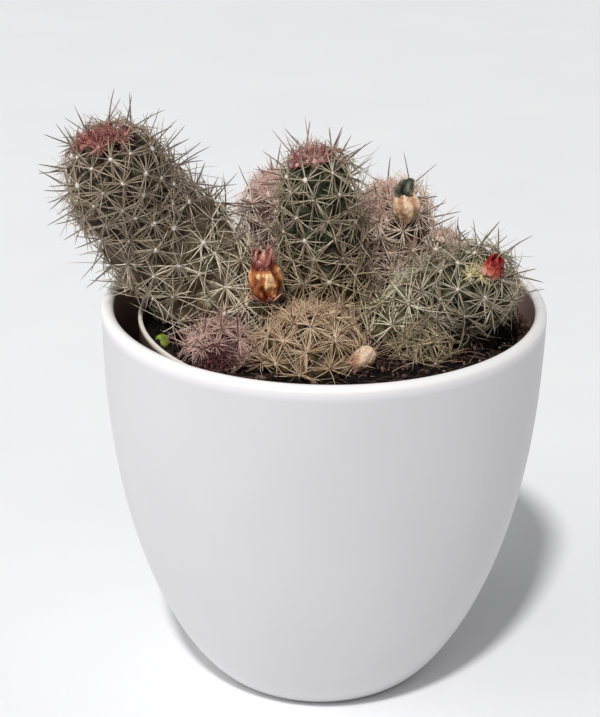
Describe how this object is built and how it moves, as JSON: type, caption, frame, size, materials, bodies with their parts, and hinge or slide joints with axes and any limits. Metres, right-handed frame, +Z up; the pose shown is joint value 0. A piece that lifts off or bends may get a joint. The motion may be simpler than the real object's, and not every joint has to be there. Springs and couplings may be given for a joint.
{
  "type": "potted clustering cactus",
  "caption": "Clump of leaning spiny cactus stems with a withered flower, rooted in a nursery pot that stands askew in a round-bellied ceramic cover pot with a plain rim.",
  "frame": {"origin": "centre of the cover pot's flat foot, on the surface it stands on", "axes": "+Z up, the longest extent; +X to the right and -Y towards the front of the plant, where the withered flower is"},
  "size_m": [0.1274, 0.11, 0.1557],
  "materials": {
    "cover_pot": "smooth satin white glaze outside and over the rim, dark brown glaze inside",
    "nursery_pot": "thin cream plastic, matt",
    "potting_soil": "dark peaty soil with grit and fibres",
    "stem_green": "matt grey-green skin under white wool and pale spines",
    "stem_brown": "matt brownish skin under pale spines",
    "stem_tan": "matt corky tan skin under yellowish spines",
    "stem_mauve": "matt dull purple skin under pinkish spines",
    "dry_petal": "papery withered petals, orange brown",
    "dry_fruit": "dry papery husk, pale peach",
    "flower_bud": "slightly glossy red bud scales",
    "sprout": "fresh bright green seed leaves"
  },
  "bodies": {
    "root": {"cover_pot": "cover_pot", "nursery_pot": "nursery_pot", "potting_soil": "potting_soil", "stem_left": "stem_green", "stem_centre": "stem_green", "stem_right": "stem_green", "stem_rear_right": "stem_brown", "stem_rear_left": "stem_brown", "stem_back_right": "stem_brown", "head_front": "stem_tan", "head_front_left": "stem_mauve", "withered_flower": "dry_petal", "dry_fruit": "dry_fruit", "flower_bud": "flower_bud", "dry_pup": "dry_fruit", "sprout": "sprout"}
  },
  "joints": []
}
